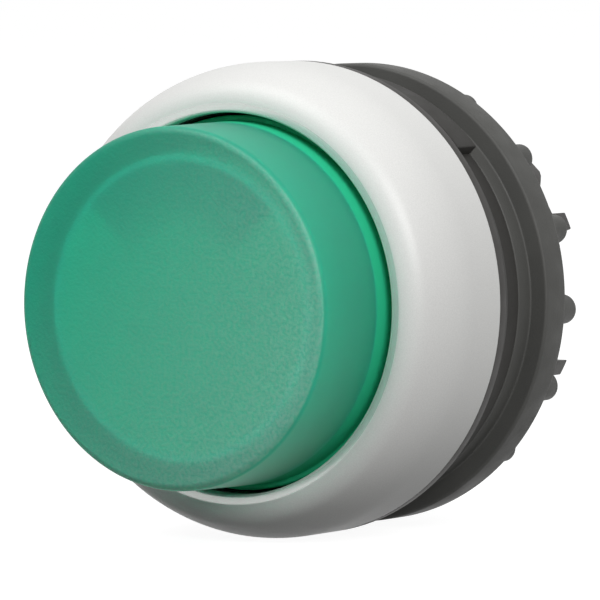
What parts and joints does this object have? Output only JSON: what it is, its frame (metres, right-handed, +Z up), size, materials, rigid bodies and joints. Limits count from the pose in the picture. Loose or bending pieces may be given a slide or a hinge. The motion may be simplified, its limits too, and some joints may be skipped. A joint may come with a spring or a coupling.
{
  "type": "illuminated push button",
  "caption": "Raised translucent push button in a domed round bezel, with a threaded barrel, panel gasket and lugged ring nut.",
  "frame": {"origin": "on the button's axis, in the plane of the panel's front face, which is the gasket's rear face", "axes": "+Z up; the lens looks along -Y and the barrel points along +Y"},
  "size_m": [0.0296, 0.0311, 0.0296],
  "materials": {
    "lens_green": "translucent, frosted face",
    "satin_silver": "satin",
    "black_plastic": "moulded, fine matt",
    "nut_plastic": "moulded, matt",
    "black_rubber": "matt",
    "green_silicone": "smooth, lets light through",
    "milky_plastic": "milky, lets light through",
    "white_plastic": "moulded",
    "spring_steel": "drawn wire and strip"
  },
  "bodies": {
    "housing": {"housing_barrel": "black_plastic", "bezel_ring": "satin_silver", "bezel_cushion": "black_rubber", "panel_gasket": "black_rubber", "clamp_ring": "black_plastic", "sealing_diaphragm": "black_rubber", "guide_bush": "white_plastic", "spring_washer": "spring_steel", "return_spring": "spring_steel"},
    "button": {"lens_cap": "lens_green", "legend_plate": "milky_plastic", "diffuser_disc": "milky_plastic", "lens_carrier": "lens_green", "lens_seal": "green_silicone", "light_tube": "white_plastic", "plunger": "black_plastic", "stop_ring": "spring_steel", "lip_collar": "white_plastic"},
    "lock": {"lock_ring": "black_plastic"},
    "nut": {"ring_nut": "nut_plastic"}
  },
  "joints": [
    {"name": "button_press", "type": "slide", "parent": "housing", "child": "button", "axis": [0, 1, 0], "range_m": [0, 0.004], "stiffness_N_per_m": 600, "springref_m": -0.004, "deforming": ["return_spring", "sealing_diaphragm"]},
    {"name": "nut_travel", "type": "slide", "parent": "housing", "child": "lock", "axis": [0, 1, 0], "range_m": [0, 0.006]},
    {"name": "nut_turn", "type": "hinge", "parent": "lock", "child": "nut", "pos_m": [0, 0.005, 0], "axis": [0, 1, 0], "range_deg": [0, 1440]}
  ],
  "couplings": [
    {"joint": "nut_travel", "follows": "nut_turn", "m_per_rad": 0.00023873}
  ]
}
